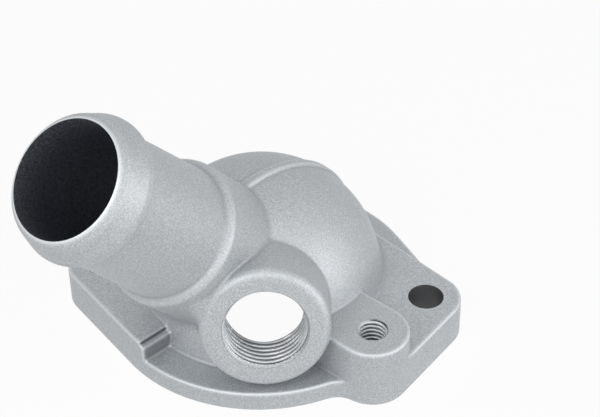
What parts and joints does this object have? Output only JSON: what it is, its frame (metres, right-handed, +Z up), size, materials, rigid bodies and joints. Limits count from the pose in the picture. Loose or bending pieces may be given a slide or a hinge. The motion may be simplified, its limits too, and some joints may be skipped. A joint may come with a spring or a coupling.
{
  "type": "coolant outlet housing",
  "caption": "Cast aluminium engine coolant housing with a domed chamber on an eared flange, a slanted beaded hose spigot, a threaded sensor port and a tapped bracket boss.",
  "frame": {"origin": "centre of the valve seat in the sealing face", "axes": "+Z up out of the sealing face along the dome axis; X along the line of the two bolt holes; the hose spigot leans towards -X and -Y"},
  "size_m": [0.102, 0.0982, 0.0803],
  "materials": {
    "cast_aluminium": "blasted casting"
  },
  "bodies": {
    "root": {"housing": "cast_aluminium"}
  },
  "joints": []
}
